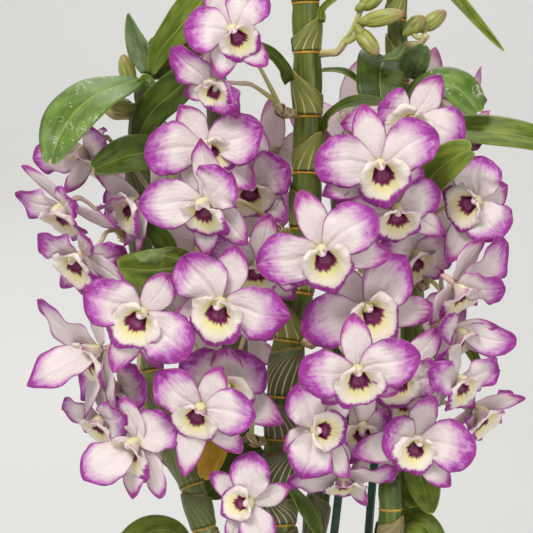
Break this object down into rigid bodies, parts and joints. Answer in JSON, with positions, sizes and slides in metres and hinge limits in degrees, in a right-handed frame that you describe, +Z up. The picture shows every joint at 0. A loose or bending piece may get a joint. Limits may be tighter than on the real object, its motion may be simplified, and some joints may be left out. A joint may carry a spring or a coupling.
{
  "type": "potted dendrobium orchid",
  "caption": "Upright jointed canes with strap leaves, crowded all round with broad pink-edged blossoms that have dark throats, growing in a plain round pot of bark.",
  "frame": {"origin": "centre of the pot's underside, on the surface it stands on", "axes": "+Z up along the canes; -Y towards the side that most blossoms face; +X to the right seen from that side"},
  "size_m": [0.278, 0.2001, 0.551],
  "materials": {
    "pot_plastic": "satin, plain moulded nursery pot",
    "bark": "rough bark chips",
    "stake": "satin dark green",
    "cane": "glossy green with papery striped sheaths",
    "old_cane": "satin, dull green with dry sheaths",
    "leaf": "waxy satin",
    "yellow_leaf": "satin, yellowing",
    "bud": "satin",
    "blossom": "soft waxy petals, white to pink with magenta edges and a maroon throat",
    "blossom_shaded": "soft waxy petals, pink"
  },
  "bodies": {
    "root": {"bark_medium": "bark", "buds_left": "bud", "buds_main": "bud", "buds_right": "bud", "cane_cut_stub": "old_cane", "cane_left": "cane", "cane_main": "cane", "cane_old_left": "old_cane", "cane_old_right": "old_cane", "cane_right": "cane", "leaf_arching": "leaf", "leaf_dark_left": "leaf", "leaf_dark_low": "leaf", "leaf_face_on": "leaf", "leaf_folded_left": "leaf", "leaf_front_left": "leaf", "leaf_front_right": "leaf", "leaf_inner_left": "leaf", "leaf_long_right": "leaf", "leaf_low_left": "leaf", "leaf_low_middle": "leaf", "leaf_low_right": "leaf", "leaf_lowest_right": "leaf", "leaf_main_left": "leaf", "leaf_main_right": "leaf", "leaf_main_upper": "leaf", "leaf_right_low": "leaf", "leaf_round_right": "leaf", "leaf_spotted": "leaf", "leaf_top_right": "leaf", "leaf_upper_left": "leaf", "leaf_upright": "leaf", "leaf_yellow": "yellow_leaf", "pot": "pot_plastic", "spray_back_left_high": "blossom_shaded", "spray_back_left_low": "blossom_shaded", "spray_back_right_high": "blossom_shaded", "spray_back_right_low": "blossom_shaded", "spray_back_top": "blossom_shaded", "spray_bottom": "blossom", "spray_far_left_low": "blossom", "spray_far_left_middle": "blossom", "spray_far_left_top": "blossom", "spray_far_left_upper": "blossom", "spray_far_right_low": "blossom", "spray_far_right_lowest": "blossom", "spray_far_right_middle": "blossom", "spray_far_right_top": "blossom", "spray_far_right_upper": "blossom", "spray_low_left": "blossom", "spray_low_right": "blossom", "spray_mid_left": "blossom", "spray_mid_right": "blossom", "spray_middle_left": "blossom", "spray_middle_right": "blossom", "spray_top_left": "blossom", "spray_upper_left": "blossom", "spray_upper_right": "blossom", "stake_left": "stake", "stake_right": "stake"}
  },
  "joints": []
}
